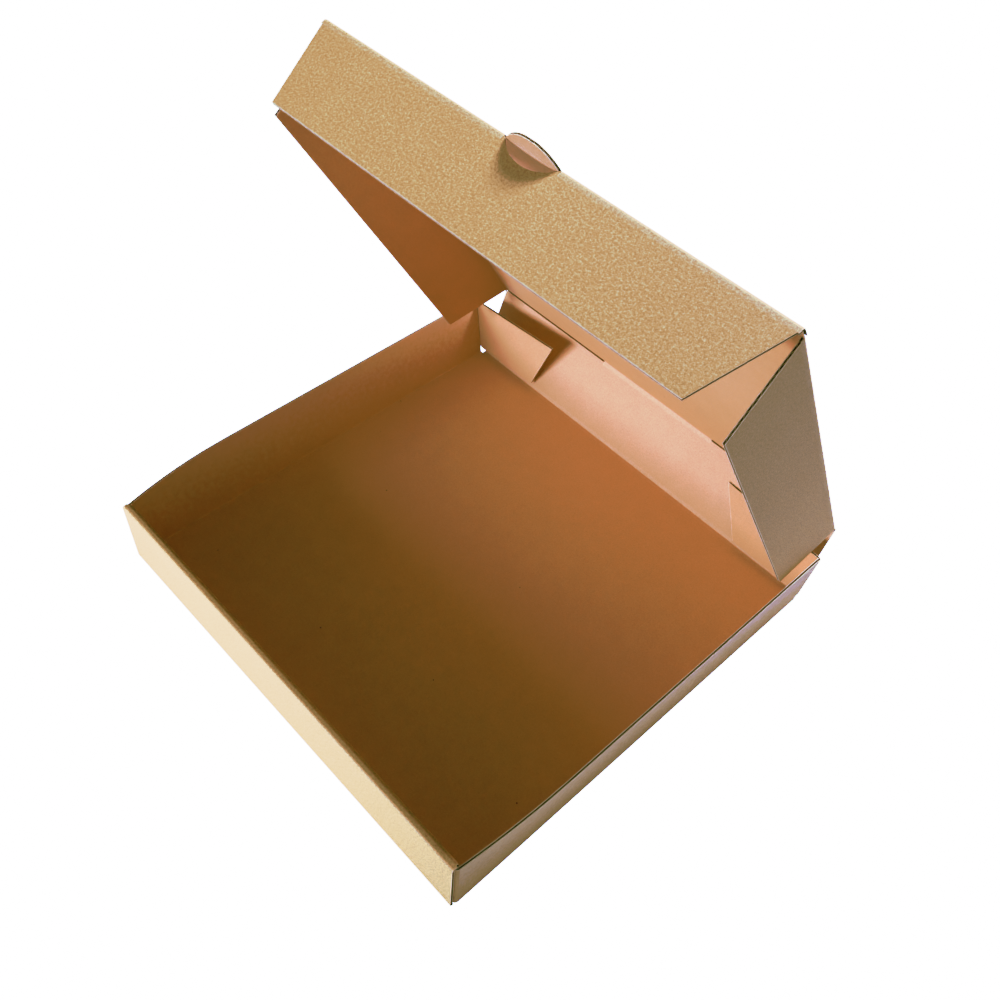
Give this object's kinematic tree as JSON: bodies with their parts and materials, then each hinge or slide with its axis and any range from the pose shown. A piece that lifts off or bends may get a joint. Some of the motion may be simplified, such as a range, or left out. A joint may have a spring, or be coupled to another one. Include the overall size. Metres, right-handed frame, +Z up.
{
  "type": "pizza box",
  "caption": "Square takeaway pizza box of brown corrugated board, folded from one sheet, half open, with a tuck-in lid and a thumb tab.",
  "frame": {"origin": "middle of the tray's underside, on the floor the box stands on", "axes": "+X along the lid's crease, +Y from the front wall to the back wall, +Z up"},
  "size_m": [0.3435, 0.3496, 0.3341],
  "materials": {
    "board": "matte"
  },
  "bodies": {
    "tray": {"tray": "board"},
    "back_wall": {"back_wall": "board"},
    "lid": {"lid_panel": "board"},
    "lid_front_flap": {"lid_front_flap": "board"},
    "lid_left_flap": {"lid_left_flap": "board"},
    "lid_right_flap": {"lid_right_flap": "board"},
    "rear_left_corner_flap": {"rear_left_corner_flap": "board"},
    "rear_right_corner_flap": {"rear_right_corner_flap": "board"}
  },
  "joints": [
    {"name": "back_wall_fold", "type": "hinge", "parent": "tray", "child": "back_wall", "pos_m": [0, 0.164, 0], "axis": [-1, 0, 0], "range_deg": [-21, 28.34]},
    {"name": "lid_fold", "type": "hinge", "parent": "back_wall", "child": "lid", "pos_m": [0, 0.18557, 0.0562], "axis": [-1, 0, 0], "range_deg": [-38.3, 51.7]},
    {"name": "lid_front_flap_fold", "type": "hinge", "parent": "lid", "child": "lid_front_flap", "pos_m": [0, 0.02552, 0.32577], "axis": [-1, 0, 0], "range_deg": [-7, 83]},
    {"name": "lid_left_flap_fold", "type": "hinge", "parent": "lid", "child": "lid_left_flap", "pos_m": [-0.162, 0.18557, 0.0562], "axis": [0, 0.5105, -0.8599], "range_deg": [0, 89]},
    {"name": "lid_right_flap_fold", "type": "hinge", "parent": "lid", "child": "lid_right_flap", "pos_m": [0.162, 0.18557, 0.0562], "axis": [0, -0.5105, 0.8599], "range_deg": [0, 89]},
    {"name": "rear_left_corner_fold", "type": "hinge", "parent": "tray", "child": "rear_left_corner_flap", "pos_m": [-0.1631, 0.1601, 0], "axis": [0.169, 0, -0.9856], "range_deg": [0, 65]},
    {"name": "rear_right_corner_fold", "type": "hinge", "parent": "tray", "child": "rear_right_corner_flap", "pos_m": [0.1631, 0.1601, 0], "axis": [0.0854, 0, 0.9963], "range_deg": [0, 85]}
  ],
  "couplings": [
    {"joint": "lid_fold", "follows": "back_wall_fold", "ratio": 1.8238}
  ]
}
